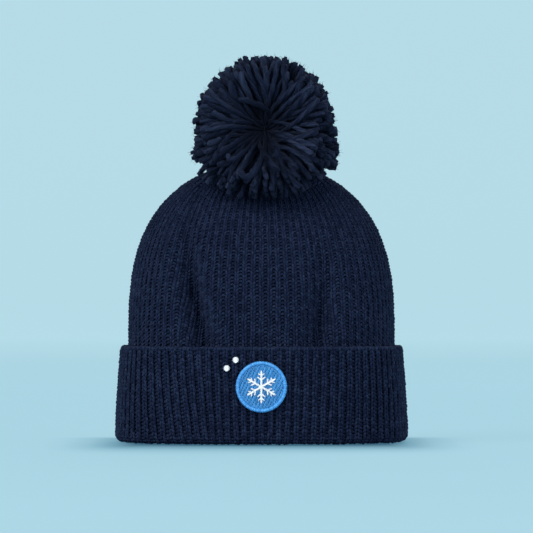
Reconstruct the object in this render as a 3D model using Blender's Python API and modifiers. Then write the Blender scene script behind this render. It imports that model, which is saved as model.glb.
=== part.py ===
"""Knitted pom pom beanie, standing open on the fold of its turned-up cuff.

Frame: metres, +Z up, the origin at the middle of the hat's base. The front, with the embroidered
badge, faces -Y. The hat is one ribbed knit tube: it runs down from a gathered crown to a fold and
turns up outside as the cuff. The pom pom is cut locks of thick yarn, bound at their middle and
tied through the eye of the crown, so it nods, sways and twists there. The cuff slides on the hat.
"""
import itertools
import math

import bmesh
import bpy
from mathutils import Matrix, Vector

# --- the knit tube: its cross-section is a superellipse, wider (X) than deep (Y) ---
SECTION_POWER = 2.5         # 2 is an ellipse, more is squarer
SECTION_SIDES = 48
WALL = 0.0042               # one layer of rib knit
GAP = 0.0004                # clearance between pieces that touch

# --- crown ---
CROWN_HALF_WIDTH = 0.0978
CROWN_HALF_DEPTH = 0.0820
CROWN_TOP_Z = 0.2060
EYE_HALF = 0.0080           # outside half-size of the gathered eye at the top
EYE_BORE = 0.0036
WIDTH_TAPER = (0.075, 3.0, 0.52)    # height where the sides start to close, and two powers
DEPTH_TAPER = (0.075, 1.8, 1.15)

# --- cuff: outer layer, fold and inner lip ---
CUFF_HEIGHT = 0.0715
CUFF_HALF_WIDTH = 0.1075    # at the fold
CUFF_HALF_DEPTH = 0.0920
CUFF_TOP_INSET = 0.0040     # the cuff's top edge is this much further in than the fold
CUFF_LIP_HEIGHT = 0.0220
CUFF_TRAVEL = 0.0200        # how far up the cuff can be moved on the hat
FOLD_THICKNESS = 0.0105
FOLD_FLAT = 0.0030          # width of the strip that rests on the table
CROWN_LOW_Z = CUFF_LIP_HEIGHT + CUFF_TRAVEL + GAP   # the crown's lower edge, inside the cuff

# --- pom pom ---
POM_PIVOT = Vector((0, 0, CROWN_TOP_Z - 0.002))
POM_CORE = Vector((0.003, -0.014, 0.227))
POM_RADIUS = 0.0560
POM_LOCKS = 40
LOCK_HALF_ANGLE = math.radians(13.2)
LOCK_ROOT = 0.0090          # where a lock leaves the binding, from the core
LOCK_SHORTEST = 0.022
LOCK_CLEARANCE = 0.0015
CORE_RADIUS = 0.0048        # the yarns' pinched middles
BINDER_RADIUS = 0.0012
TIE_RADIUS = 0.0016
TIE_DEPTH = 0.0075          # the tie runs straight through the eye, this far below the pivot
TIE_RISE = 0.0062           # and this far above it, before it leans towards the pom pom
KNOT_RADIUS = 0.0042
NOD_LIMIT = math.radians(8)
SWAY_LIMIT = math.radians(8)
TWIST_LIMIT = math.radians(20)

# --- badge on the cuff's front ---
BADGE_CENTRE_Z = 0.0425
BADGE_RADIUS = 0.0185
BADGE_RIM = 0.0024
BADGE_THICKNESS = 0.0014
BACKING_THICKNESS = 0.0006
DOT_RADIUS = 0.0022
DOT_PLACES = (("high", -0.0185, 0.0620), ("low", -0.0250, 0.0560))

COLOURS = {                 # base colour, roughness
    "knit_navy": ((0.0075, 0.0125, 0.030), 0.90),
    "yarn_navy": ((0.0075, 0.0115, 0.028), 0.88),
    "thread_blue": ((0.045, 0.235, 0.560), 0.55),
    "thread_light_blue": ((0.090, 0.340, 0.700), 0.50),
    "thread_white": ((0.850, 0.840, 0.850), 0.60),
    "backing_white": ((0.600, 0.600, 0.600), 0.90),
}


def clear_scene():
    for thing in list(bpy.data.objects):
        bpy.data.objects.remove(thing)


def material(name):
    """A Principled material from COLOURS, made once."""
    if name in bpy.data.materials:
        return bpy.data.materials[name]
    colour, roughness = COLOURS[name]
    made = bpy.data.materials.new(name)
    made.use_nodes = True
    shader = made.node_tree.nodes["Principled BSDF"]
    shader.inputs["Base Color"].default_value = (*colour, 1)
    shader.inputs["Roughness"].default_value = roughness
    shader.inputs["Metallic"].default_value = 0
    return made


def add(name, mesh, collection, finish):
    """Put a mesh in the collection as a named object with its material."""
    made = bpy.data.objects.new(name, mesh)
    collection.objects.link(made)
    made.data.materials.append(material(finish))
    return made


# --- sections ------------------------------------------------------------------------------

def on_section(angle, half_width, half_depth, power=SECTION_POWER):
    """A point of the superellipse. Angle 0 is +X and 90 degrees is +Y."""
    c, s = math.cos(angle), math.sin(angle)
    x = half_width * math.copysign(abs(c) ** (2 / power), c)
    y = half_depth * math.copysign(abs(s) ** (2 / power), s)
    return x, y


def taper(z, base, taper_shape):
    """Half-size of the crown at height z: full below, closing to the eye at the top."""
    start, first, second = taper_shape
    t = min(max((z - start) / (CROWN_TOP_Z - start), 0), 1)
    return EYE_HALF + (base - EYE_HALF) * max(1 - t ** first, 0) ** second


def crown_half_width(z):
    return taper(z, CROWN_HALF_WIDTH, WIDTH_TAPER)


def crown_half_depth(z):
    return taper(z, CROWN_HALF_DEPTH, DEPTH_TAPER)


def inner_half(half_size, z):
    """Half-size of the crown's inner face at z, one layer in along the slope's normal."""
    step = 0.0002
    slope = (half_size(z - step) - half_size(z)) / step
    return max(half_size(z) - WALL * math.sqrt(1 + slope ** 2), EYE_BORE)


def swept_loop(name, loop):
    """Closed solid from a closed loop of (half_width, half_depth, z) swept round the section.

    The loop runs up the outer side and down the inner side, so the faces point out.
    """
    shape = bmesh.new()
    rings = []
    for half_width, half_depth, z in loop:
        ring = []
        for side in range(SECTION_SIDES):
            x, y = on_section(2 * math.pi * side / SECTION_SIDES, half_width, half_depth)
            ring.append(shape.verts.new((x, y, z)))
        rings.append(ring)
    for ring, above in zip(rings, rings[1:] + rings[:1]):
        for side in range(SECTION_SIDES):
            after = (side + 1) % SECTION_SIDES
            shape.faces.new((ring[side], ring[after], above[after], above[side]))
    bmesh.ops.recalc_face_normals(shape, faces=shape.faces)
    mesh = bpy.data.meshes.new(name)
    shape.to_mesh(mesh)
    shape.free()
    mesh.shade_smooth()
    mesh.set_sharp_from_angle(angle=math.radians(50))
    return mesh


# --- the knit ------------------------------------------------------------------------------

def crown_heights():
    """Heights of the crown's rings, closer together as it closes."""
    steps = 15
    return [CROWN_LOW_Z + (CROWN_TOP_Z - CROWN_LOW_Z) * math.sin(math.pi / 2 * i / steps)
            for i in range(steps + 1)]


def make_crown(collection):
    """The crown's layer from its lower edge to the eye: up the outer face and down the inner."""
    heights = crown_heights()
    outer = [(crown_half_width(z), crown_half_depth(z), z) for z in heights]
    inner = [(inner_half(crown_half_width, z), inner_half(crown_half_depth, z), z)
             for z in reversed(heights)]
    return add("crown_shell", swept_loop("crown_shell", outer + inner), collection, "knit_navy")


def cuff_inset(z):
    """How much further in than the fold the cuff's outer face is at height z."""
    return CUFF_TOP_INSET * (min(max(z, 0), CUFF_HEIGHT) / CUFF_HEIGHT) ** 1.6


def make_cuff(collection):
    """A J in section: up the outer layer, over its edge, down inside it, and up the lip."""
    fold = CUFF_HALF_WIDTH
    edge = fold - cuff_inset(CUFF_HEIGHT)
    inside = fold - FOLD_THICKNESS
    lip_out = CROWN_HALF_WIDTH + GAP
    heights = [0.006 + 0.0120 * i for i in range(6)]
    flat = fold - 0.0065
    profile = [(flat, 0), (flat + FOLD_FLAT, 0), (fold - 0.0009, 0.0016)]
    profile += [(fold - cuff_inset(z), z) for z in heights]
    profile += [(edge - 0.0006, CUFF_HEIGHT - 0.0011), (edge - WALL / 2, CUFF_HEIGHT),
                (edge - WALL + 0.0006, CUFF_HEIGHT - 0.0011)]
    profile += [(fold - cuff_inset(z) - WALL, z) for z in reversed(heights[1:])]
    profile += [
        (fold - WALL - 0.0003, 0.0085), (fold - WALL - 0.0018, 0.0055),
        (lip_out + 0.0020, 0.0085), (lip_out, CUFF_LIP_HEIGHT),
        (lip_out - WALL, CUFF_LIP_HEIGHT), (inside - 0.0018, 0.012),
        (inside, 0.004), (inside + 0.0016, 0.0010),
    ]
    narrower = CUFF_HALF_WIDTH - CUFF_HALF_DEPTH
    loop = [(out, out - narrower, z) for out, z in profile]
    return add("turned_cuff", swept_loop("turned_cuff", loop), collection, "knit_navy")


def tube(name, points, radius, collection, finish, cyclic=False, resolution=2):
    """A cord along points, as a curve with a round bevel."""
    curve = bpy.data.curves.new(name, "CURVE")
    curve.dimensions = "3D"
    curve.bevel_depth = radius
    curve.bevel_resolution = resolution
    curve.use_fill_caps = not cyclic
    spline = curve.splines.new("POLY")
    spline.points.add(len(points) - 1)
    for point, place in zip(spline.points, points):
        point.co = (*place, 1)
    spline.use_cyclic_u = cyclic
    made = bpy.data.objects.new(name, curve)
    collection.objects.link(made)
    made.data.materials.append(material(finish))
    return made


def make_back_seam(collection):
    """The linking stitch up the inside of the back, from the crown's lower edge to the taper."""
    radius = 0.0009
    low, high, stitches = CROWN_LOW_Z + 0.002, 0.150, 36
    points = []
    for i in range(stitches + 1):
        z = low + (high - low) * i / stitches
        inner = inner_half(crown_half_depth, z)
        points.append(Vector((0.0012 * (-1) ** i, inner - radius - 0.0006, z)))
    tube("back_seam_thread", points, radius, collection, "yarn_navy")


def make_gather_yarn(collection):
    """The drawstring ring that closes the crown, lying on the rim of the eye."""
    bpy.ops.mesh.primitive_torus_add(major_radius=0.0058, minor_radius=0.0014, major_segments=20,
                                     minor_segments=8,
                                     location=(0, 0, CROWN_TOP_Z + 0.0014 + GAP))
    take_active("crown_gather_yarn", collection, "yarn_navy")


def take_active(name, collection, finish):
    """Name the object that an operator has just made and move it to the collection."""
    made = bpy.context.object
    made.name = name
    made.data.name = name
    for holder in list(made.users_collection):
        holder.objects.unlink(made)
    collection.objects.link(made)
    made.data.materials.append(material(finish))
    made.data.shade_smooth()
    return made


# --- the pom pom ---------------------------------------------------------------------------

def neck_axis():
    return (POM_CORE - POM_PIVOT).normalized()


def joint_corners():
    """Rotations of the pom pom at every mix of its three joints' limits and rest."""
    corners = []
    for nod, sway, twist in itertools.product((-1, 0, 1), repeat=3):
        corners.append(Matrix.Rotation(nod * NOD_LIMIT, 3, "X")
                       @ Matrix.Rotation(sway * SWAY_LIMIT, 3, "Y")
                       @ Matrix.Rotation(twist * TWIST_LIMIT, 3, neck_axis()))
    return corners


def in_crown(point, margin):
    if point.z > CROWN_TOP_Z + margin:
        return False
    across = abs(point.x) / (crown_half_width(point.z) + margin)
    along = abs(point.y) / (crown_half_depth(point.z) + margin)
    return across ** SECTION_POWER + along ** SECTION_POWER < 1


def lock_reach(direction, corners):
    """Length of a lock that stays clear of the crown wherever the pom pom turns."""
    side = direction.orthogonal().normalized()
    up = direction.cross(side)
    flank = [direction]
    for i in range(8):
        turn = 2 * math.pi * i / 8
        around = side * math.cos(turn) + up * math.sin(turn)
        flank.append(direction * math.cos(LOCK_HALF_ANGLE) + around * math.sin(LOCK_HALF_ANGLE))
    start = POM_CORE - POM_PIVOT
    reach = LOCK_ROOT
    while reach < POM_RADIUS:
        tips = [start + line * (reach + 0.001) for line in flank]
        if any(in_crown(POM_PIVOT + corner @ tip, LOCK_CLEARANCE)
               for corner in corners for tip in tips):
            break
        reach += 0.001
    return min(reach, POM_RADIUS)


def even_directions(count):
    """Directions spread evenly over a sphere along a golden-angle spiral."""
    golden = math.pi * (3 - math.sqrt(5))
    found = []
    for i in range(count):
        z = 1 - (2 * i + 1) / count
        flat = math.sqrt(1 - z * z)
        found.append(Vector((flat * math.cos(golden * i), flat * math.sin(golden * i), z)))
    return found


def lock_profile(length):
    """Half outline of a lock, from its round tip down its flank to the root."""
    spread = math.tan(LOCK_HALF_ANGLE)
    wide = (length - 0.004) * spread
    outline = [(0, length), (wide * 0.55, length - 0.0008), (wide * 0.88, length - 0.0030),
               (wide, length - 0.0065)]
    outline.append((LOCK_ROOT * spread, LOCK_ROOT))
    outline.append((0, LOCK_ROOT))
    return outline


def make_lock(name, direction, length, collection):
    """A bunch of yarn: its half outline turned about the lock's own axis."""
    mesh = bpy.data.meshes.new(name)
    outline = lock_profile(length)
    mesh.from_pydata([(across, 0, along) for across, along in outline],
                     [(i, i + 1) for i in range(len(outline) - 1)], [])
    made = add(name, mesh, collection, "yarn_navy")
    turn = made.modifiers.new("turned", "SCREW")
    turn.steps = turn.render_steps = 8
    turn.use_merge_vertices = True
    turn.merge_threshold = 0.00005
    made.location = POM_CORE
    made.rotation_mode = "QUATERNION"
    made.rotation_quaternion = direction.to_track_quat("Z", "Y")
    return made


def make_pom(collection):
    corners = joint_corners()
    number = 0
    for direction in even_directions(POM_LOCKS):
        reach = lock_reach(direction, corners)
        if reach < LOCK_SHORTEST:
            continue
        number += 1
        make_lock(f"pom_lock_{number:02d}", direction, reach, collection)


def make_ties(collection):
    """The yarns' pinched core, the binding round it, and the neck tied through the eye."""
    up = Vector((0, 0, 1))
    bpy.ops.mesh.primitive_uv_sphere_add(segments=12, ring_count=8, radius=CORE_RADIUS,
                                         location=POM_CORE)
    take_active("pom_core_yarn", collection, "yarn_navy")
    ring = CORE_RADIUS + GAP + BINDER_RADIUS
    bpy.ops.mesh.primitive_torus_add(major_radius=ring, minor_radius=BINDER_RADIUS,
                                     major_segments=20, minor_segments=8, location=POM_CORE,
                                     rotation=(0, math.pi / 2, 0))
    take_active("pom_binder_cord", collection, "yarn_navy")
    foot = POM_PIVOT - up * TIE_DEPTH
    bend = POM_PIVOT + up * TIE_RISE
    head = POM_CORE - neck_axis() * (ring + BINDER_RADIUS + GAP + 0.0003)
    tube("pom_tie_cord", [foot, bend, head], TIE_RADIUS, collection, "yarn_navy")
    bpy.ops.mesh.primitive_uv_sphere_add(segments=14, ring_count=8, radius=KNOT_RADIUS,
                                         location=foot - up * (KNOT_RADIUS + GAP))
    take_active("tie_knot", collection, "yarn_navy")


# --- badge ---------------------------------------------------------------------------------

def cuff_front(x, z, lift):
    """A point over the cuff's front face at (x, z), lift out from the knit."""
    half_width = CUFF_HALF_WIDTH - cuff_inset(z) + lift
    half_depth = CUFF_HALF_DEPTH - cuff_inset(z) + lift
    depth = half_depth * (1 - (abs(x) / half_width) ** SECTION_POWER) ** (1 / SECTION_POWER)
    return Vector((x, -depth, z))


def patch(name, outline, low, high, collection, finish, bands=4):
    """A thin slab over the cuff's front, from lift low to lift high.

    The outline is a centre (x, z), its radius as a function of the angle, and a count of sides.
    """
    centre, radius_at, sides = outline
    shape = bmesh.new()
    layers = []
    for lift in (high, low):
        middle = shape.verts.new(cuff_front(centre[0], centre[1], lift))
        rings = []
        for band in range(1, bands + 1):
            ring = []
            for side in range(sides):
                turn = 2 * math.pi * side / sides
                out = radius_at(turn) * band / bands
                ring.append(shape.verts.new(cuff_front(
                    centre[0] + out * math.cos(turn), centre[1] + out * math.sin(turn), lift)))
            rings.append(ring)
        layers.append((middle, rings))
    for middle, rings in layers:
        for side in range(sides):
            after = (side + 1) % sides
            shape.faces.new((middle, rings[0][side], rings[0][after]))
            for ring, beyond in zip(rings, rings[1:]):
                shape.faces.new((ring[side], beyond[side], beyond[after], ring[after]))
    (_, top), (_, under) = layers
    for side in range(sides):
        after = (side + 1) % sides
        shape.faces.new((top[-1][side], under[-1][side], under[-1][after], top[-1][after]))
    bmesh.ops.recalc_face_normals(shape, faces=shape.faces)
    mesh = bpy.data.meshes.new(name)
    shape.to_mesh(mesh)
    shape.free()
    return add(name, mesh, collection, finish)


def snowflake_radius(turn):
    """Six rounded arms: the outline's radius at an angle from +X."""
    arm = abs(math.cos(3 * (turn - math.pi / 2)))
    return 0.0030 + 0.0085 * arm ** 6


def make_badge(collection):
    centre = (0, BADGE_CENTRE_Z)
    fill = BADGE_RADIUS - BADGE_RIM - GAP
    patch("badge_fill", (centre, lambda turn: fill, 36), GAP, GAP + BADGE_THICKNESS,
          collection, "thread_blue")
    over = 2 * GAP + BADGE_THICKNESS
    patch("badge_snowflake", (centre, snowflake_radius, 72), over, over + 0.0009,
          collection, "thread_white", bands=2)
    rim = []
    for side in range(48):
        turn = 2 * math.pi * side / 48
        reach = BADGE_RADIUS - BADGE_RIM / 2
        rim.append(cuff_front(reach * math.cos(turn), BADGE_CENTRE_Z + reach * math.sin(turn),
                              GAP + BADGE_RIM / 2))
    tube("badge_rim", rim, BADGE_RIM / 2 - 0.0001, collection, "thread_light_blue", cyclic=True)
    for name, x, z in DOT_PLACES:
        patch(f"cuff_dot_{name}", ((x, z), lambda turn: DOT_RADIUS, 16), GAP, GAP + 0.0010,
              collection, "thread_white", bands=1)
    behind = -WALL - GAP - 0.0003
    patch("badge_backing", (centre, lambda turn: BADGE_RADIUS, 32), behind - BACKING_THICKNESS,
          behind, collection, "backing_white")


def main():
    clear_scene()
    hat = bpy.data.collections.new("pom_pom_beanie")
    bpy.context.scene.collection.children.link(hat)
    make_crown(hat)
    make_cuff(hat)
    make_back_seam(hat)
    make_gather_yarn(hat)
    make_ties(hat)
    make_pom(hat)
    make_badge(hat)


main()
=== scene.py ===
"""Looks of the knitted pom pom beanie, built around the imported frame.

Every yarn is real geometry. The ribs are columns of curved stitch legs over a wavy sheet of
knit, the pom pom is over a thousand cut yarns that spread from its binding, and the badge is
stitched thread by thread over the front of the cuff.
"""
import itertools
import math

import bpy
import numpy as np
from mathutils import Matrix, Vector


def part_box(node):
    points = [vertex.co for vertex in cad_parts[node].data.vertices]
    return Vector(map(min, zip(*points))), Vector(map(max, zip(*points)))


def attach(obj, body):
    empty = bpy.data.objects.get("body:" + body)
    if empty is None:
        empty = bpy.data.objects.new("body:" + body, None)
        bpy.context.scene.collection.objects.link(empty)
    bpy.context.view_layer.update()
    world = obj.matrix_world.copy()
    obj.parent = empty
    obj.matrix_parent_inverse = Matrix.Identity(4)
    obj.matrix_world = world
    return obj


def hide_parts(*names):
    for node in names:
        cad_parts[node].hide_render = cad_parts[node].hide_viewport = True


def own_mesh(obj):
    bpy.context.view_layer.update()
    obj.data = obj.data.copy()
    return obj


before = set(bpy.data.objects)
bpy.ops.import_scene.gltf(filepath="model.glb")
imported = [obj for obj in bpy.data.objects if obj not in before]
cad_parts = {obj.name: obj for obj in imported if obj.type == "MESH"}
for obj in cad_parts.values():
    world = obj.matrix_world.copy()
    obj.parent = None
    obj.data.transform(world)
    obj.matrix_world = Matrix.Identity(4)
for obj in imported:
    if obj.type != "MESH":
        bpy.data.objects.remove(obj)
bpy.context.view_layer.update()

# --- the hat's own numbers, as the frame has them (metres) ---
SECTION_POWER = 2.5
WALL = 0.0042
CROWN_HALF_WIDTH = 0.0978
CROWN_HALF_DEPTH = 0.0820
EYE_HALF = 0.0080
WIDTH_TAPER = (0.075, 3.0, 0.52)
DEPTH_TAPER = (0.075, 1.8, 1.15)
CUFF_TOP_INSET = 0.0040
FOLD_THICKNESS = 0.0105
POM_CORE = np.array((0.003, -0.014, 0.227))
POM_TURNS = np.radians((8, 8, 20))      # the limits of pom_nod, pom_sway and pom_twist

crown_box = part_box("crown_shell")
CROWN_LOW_Z = crown_box[0].z
CROWN_TOP_Z = crown_box[1].z
CUFF_HALF_WIDTH, CUFF_HALF_DEPTH, CUFF_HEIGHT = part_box("turned_cuff")[1]
POM_PIVOT = np.array((0, 0, CROWN_TOP_Z - 0.002))

# --- knitting ---
RIBS = 96                   # knit columns round the hat
ROW = 0.00270               # height of one row of stitches
AROUND = RIBS * 8           # samples round a ring in the surface tables
KNIT_SINK = 0.0007          # the yarns' outer side stands this much lower than their own radius
CUFF_LEG = (0.158, 1.18)    # a stitch's leg: radius in column pitches, spread of its form
CROWN_LEG = (0.148, 1.12)   # the crown is stretched, so its ribs are narrower
CUFF_PURL = (0.160, 1.0, 0.90)      # a purl bump: radius in pitches, arch of its form, flatness
CROWN_PURL = (0.165, 0.5, 0.80)
LEG_FORM = np.array((       # share of a leg's way, thickness, lift and way out in pitches
    (0.00, 0.36, -0.280, 0.034), (0.13, 0.76, -0.095, 0.060), (0.34, 1.00, 0.030, 0.106),
    (0.57, 1.02, 0.048, 0.150), (0.80, 0.84, -0.060, 0.186), (1.00, 0.36, -0.280, 0.196)))
PURL_FORM = np.array((      # across a purl bump: way along and up in pitches, thickness, lift
    (-0.27, -0.08, 0.50, -0.130), (-0.13, 0.07, 0.95, 0.010), (0.00, 0.12, 1.00, 0.040),
    (0.13, 0.07, 0.95, 0.010), (0.27, -0.08, 0.50, -0.130)))
CUFF_EDGE = 0.0023          # radius the cuff's free edge rolls over
EDGE_CHAIN_STEP = 0.0019    # between the chains of stitches along it
CUFF_FIRST_ROW = 0.0030 + ROW       # along the face from the lip inside
CUFF_PURL_SINK = 0.0021     # the cuff's grooves are deep, and the stretched crown's are shallow
FOLD_PURL_SINK = 0.0010     # round the fold they are shallower too
CROWN_PURL_SINK = 0.0013
CUFF_GROOVE = 0.0024        # depth of the knit's sheet between the ribs
CROWN_GROOVE = 0.0020
EDGE_LEFT = 0.0005          # the crown's knit stops this far from both ends of its face
CROWN_ZONES = (     # rib count, from height, to height: ribs are knitted together twice
    (RIBS, 0.0600, 0.1880), (RIBS // 2, 0.1880, 0.2010), (RIBS // 4, 0.2010, None))
DENT_ENDS = (0.046, 0.070)  # the crown's creases close between these heights, behind the cuff
CREASES = (     # how far out, turns from the front, slant, from where, spread, height, reach
    (-0.0190, -0.087, -0.40, 0.102, 0.013, 0.104, 0.036),
    (-0.0135, 0.076, 0.20, 0.094, 0.012, 0.096, 0.026),
    (0.0016, -0.050, 0.00, 0.100, 0.018, 0.100, 0.034),
    (0.0010, 0.038, 0.00, 0.094, 0.018, 0.094, 0.025))


def middle_of(name):
    """The middle of a CAD node's box."""
    return np.add(*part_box(name)) / 2


def disc_of(name):
    """Centre (x, z) and radius of a round CAD node on the cuff's front."""
    low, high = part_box(name)
    return middle_of(name)[::2], (high.z - low.z) / 2


BADGE_CENTRE_Z = middle_of("badge_rim")[2]
BADGE_RADIUS = disc_of("badge_rim")[1]


MATERIALS = {}      # by slot, filled by main


# --- mesh building ---

def make_mesh(name, points, *face_groups, attributes=None):
    """A mesh object from an array of points and arrays of faces, one array for each face size."""
    mesh = bpy.data.meshes.new(name)
    corners = np.concatenate([group.ravel() for group in face_groups]).astype(np.int32)
    sizes = np.concatenate([np.full(len(group), group.shape[1]) for group in face_groups])
    starts = np.concatenate([[0], np.cumsum(sizes)[:-1]]).astype(np.int32)
    mesh.vertices.add(len(points))
    mesh.vertices.foreach_set("co", np.asarray(points, np.float32).ravel())
    mesh.loops.add(len(corners))
    mesh.loops.foreach_set("vertex_index", corners)
    mesh.polygons.add(len(sizes))
    mesh.polygons.foreach_set("loop_start", starts)
    mesh.update(calc_edges=True)
    for label, values in (attributes or {}).items():
        layer = mesh.attributes.new(label, "FLOAT_VECTOR", "POINT")
        layer.data.foreach_set("vector", np.asarray(values, np.float32).ravel())
    mesh.shade_smooth()
    made = bpy.data.objects.new(name, mesh)
    bpy.context.scene.collection.objects.link(made)
    return made


def ring_quads(rings, sides, closed=False):
    """Quads between rings of vertices, and between the last ring and the first if closed."""
    index = np.arange(rings * sides).reshape(rings, sides)
    after = np.roll(index, -1, axis=1)
    quads = np.stack([index, np.roll(index, -1, axis=0), np.roll(after, -1, axis=0), after], -1)
    return quads[:None if closed else -1].reshape(-1, 4)


def circle(turn):
    return np.stack([np.cos(turn), np.sin(turn)], -1)


def running(steps):
    """The way along at each point, from the steps between them."""
    return np.concatenate([[0], np.cumsum(steps)])


def unit(vectors):
    return vectors / np.maximum(np.linalg.norm(vectors, axis=-1, keepdims=True), 1e-12)


def tubes(name, paths, radii, outward, sides, flat=1.0, tone=None, lobes=0.0, twist=0.0):
    """Many closed tubes as one object.

    paths is (tubes, points, 3), radii is (tubes, points), and outward is (tubes, points, 3), a
    direction across each tube that its flattened side faces. tone is a random number for each
    tube. lobes is how much the section swells and shrinks round the tube, as plies do, and twist
    is how many turns they make in a metre.
    """
    count, steps, _ = paths.shape
    tangents = unit(np.gradient(paths, axis=1))
    across = unit(np.cross(tangents, outward))
    up = np.cross(across, tangents)
    along = np.concatenate(
        [np.zeros((count, 1)),
         np.cumsum(np.linalg.norm(np.diff(paths, axis=1), axis=2), axis=1)], axis=1)
    turn = 2 * np.pi * np.arange(sides) / sides
    swell = 1 + lobes * np.cos(3 * turn)
    wound = turn + 2 * np.pi * twist * along[..., None]
    wide = (np.cos(wound) * swell)[..., None]
    tall = (np.sin(wound) * swell * flat)[..., None]
    rings = paths[:, :, None] + radii[:, :, None, None] * (
        across[:, :, None] * wide + up[:, :, None] * tall)
    index = np.arange(count * steps * sides).reshape(count, steps, sides)
    after = np.roll(index, -1, axis=2)
    walls = np.stack([index[:, :-1], index[:, 1:], after[:, 1:], after[:, :-1]], -1)
    start_caps = index[:, 0]
    end_caps = index[:, -1, ::-1]
    if tone is None:
        tone = np.zeros(count)
    yarn = np.empty((count, steps, sides, 3))
    yarn[..., 0] = along[:, :, None]
    yarn[..., 1] = (turn / (2 * np.pi))[None, None, :]
    yarn[..., 2] = np.asarray(tone)[:, None, None]
    return make_mesh(name, rings.reshape(-1, 3), walls.reshape(-1, 4),
                     np.concatenate([start_caps, end_caps]),
                     attributes={"yarn": yarn.reshape(-1, 3)})


def finish_piece(piece, body, slot, node=None):
    """Gives a piece its look and its body, and the CAD node that it stands for."""
    piece.data.materials.append(MATERIALS[slot])
    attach(piece, body)
    if node:
        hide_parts(node)


# --- the hat's surfaces ---

def taper(z, base, shape):
    """Half-size of the crown at height z: full below, closing to the eye at the top."""
    start, first, second = shape
    t = np.clip((z - start) / (CROWN_TOP_Z - start), 0, 1)
    return EYE_HALF + (base - EYE_HALF) * np.maximum(1 - t ** first, 0) ** second


def crown_sizes(z):
    """The crown's half-width and half-depth at height z."""
    return taper(z, CROWN_HALF_WIDTH, WIDTH_TAPER), taper(z, CROWN_HALF_DEPTH, DEPTH_TAPER)


def cuff_inset(z):
    """How much further in than the fold the cuff's outer face is at height z."""
    return CUFF_TOP_INSET * (np.clip(z, 0, CUFF_HEIGHT) / CUFF_HEIGHT) ** 1.6


def section_angles(half_width, half_depth, samples):
    """Angles at even steps of length round a section, from the front towards +X."""
    angle = np.linspace(-np.pi / 2, 3 * np.pi / 2, 2881)
    x, y = on_section(angle, half_width, half_depth)
    run = running(np.hypot(np.diff(x), np.diff(y)))
    return np.interp(np.arange(samples) / samples * run[-1], run, angle)


def on_section(angle, half_width, half_depth):
    c, s = np.cos(angle), np.sin(angle)
    power = 2 / SECTION_POWER
    return (half_width * np.sign(c) * np.abs(c) ** power,
            half_depth * np.sign(s) * np.abs(s) ** power)


def hump(x):
    return np.exp(-0.5 * x ** 2)


def near(s, middle, spread):
    """A smooth hump of height 1 round the hat at s turns from the front."""
    return hump(((s - middle + 0.5) % 1.0 - 0.5) / spread)


def no_change(s, z):
    return 0 * s


class Face:
    """A face of the knit: points and normals over v, the way along it, and s, round the hat.

    The columns keep their angles all the way, so they close in as the crown does. lean moves
    the columns round by (s, z), in turns, and dent moves the face out by (s, z).
    """

    def __init__(self, half_widths, half_depths, heights, lean=no_change, dent=no_change):
        spread = np.hypot(np.diff(half_widths), np.diff(half_depths)) / math.sqrt(2)
        way = running(np.hypot(spread, np.diff(heights)))
        self.length = way[-1]
        self.lean = lean
        rows = int(self.length / 0.0008) + 2
        self.way = np.linspace(0, self.length, rows)
        half_widths = np.interp(self.way, way, half_widths)[:, None]
        half_depths = np.interp(self.way, way, half_depths)[:, None]
        self.heights = np.interp(self.way, way, heights)
        angles = section_angles(half_widths.max(), half_depths.max(), AROUND)[None]
        x, y = on_section(angles, half_widths, half_depths)
        self.points = np.stack([x, y, self.heights[:, None] + 0 * x], -1)
        self.normals = self.facing()
        out = dent(np.arange(AROUND)[None] / AROUND, self.heights[:, None])
        self.points += self.normals * out[..., None]
        self.normals = self.facing()
        step = np.linalg.norm(np.roll(self.points, -1, 1) - self.points, axis=-1)
        self.girth = step.sum(1)
        self.local_girth = step * AROUND

    def facing(self):
        round_way = np.roll(self.points, -1, 1) - np.roll(self.points, 1, 1)
        return unit(np.cross(round_way, np.gradient(self.points, axis=0)))

    def at(self, s, v, lift):
        """Points at s turns round and v along, lift out from the face, with their normals."""
        s, v, lift = np.broadcast_arrays(s, v, lift)
        row = np.clip(v / self.length, 0, 1) * (len(self.way) - 1)
        low = np.minimum(row.astype(int), len(self.way) - 2)
        part = (row - low)[..., None]
        column = ((s + self.lean(s, self.heights[low])) % 1.0) * AROUND
        left = np.floor(column).astype(int)
        share = (column - left)[..., None]
        left %= AROUND
        right = (left + 1) % AROUND

        def mixed(table):
            below = table[low, left] * (1 - share) + table[low, right] * share
            above = table[low + 1, left] * (1 - share) + table[low + 1, right] * share
            return below * (1 - part) + above * part

        normals = unit(mixed(self.normals))
        return mixed(self.points) + normals * lift[..., None], normals

    def pitch_at(self, s, v, ribs_round):
        """Width of one knit column at (s, v)."""
        row = np.clip(v / self.length * (len(self.way) - 1), 0, len(self.way) - 1).astype(int)
        column = (s % 1.0 * AROUND).astype(int) % AROUND
        return self.local_girth[row, column] / ribs_round

    def way_to(self, z):
        """The last way along the face at which it is at height z, for a face that rises."""
        return float(np.interp(z, self.heights, self.way))


def eased(t):
    """0 at and below 0, 1 from 1 on, and smooth between them."""
    t = np.clip(t, 0, 1)
    return t * t * (3 - 2 * t)


def crown_dent(s, z):
    """Soft hollows down the crown's front, where the flat knit has creased."""
    out = sum(depth * near(s, middle + slant * (z - at), spread) * hump((z - height) / reach)
              for depth, middle, slant, at, spread, height, reach in CREASES)
    return eased((z - DENT_ENDS[0]) / (DENT_ENDS[1] - DENT_ENDS[0])) * out


def cuff_lean(s, z):
    """The columns slant towards the front's middle as they go down, more on the left."""
    down = np.clip(1 - z / CUFF_HEIGHT, 0, 1) ** 1.2
    return down * (0.0150 * near(s, -0.105, 0.045) - 0.0060 * near(s, 0.090, 0.050))


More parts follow.
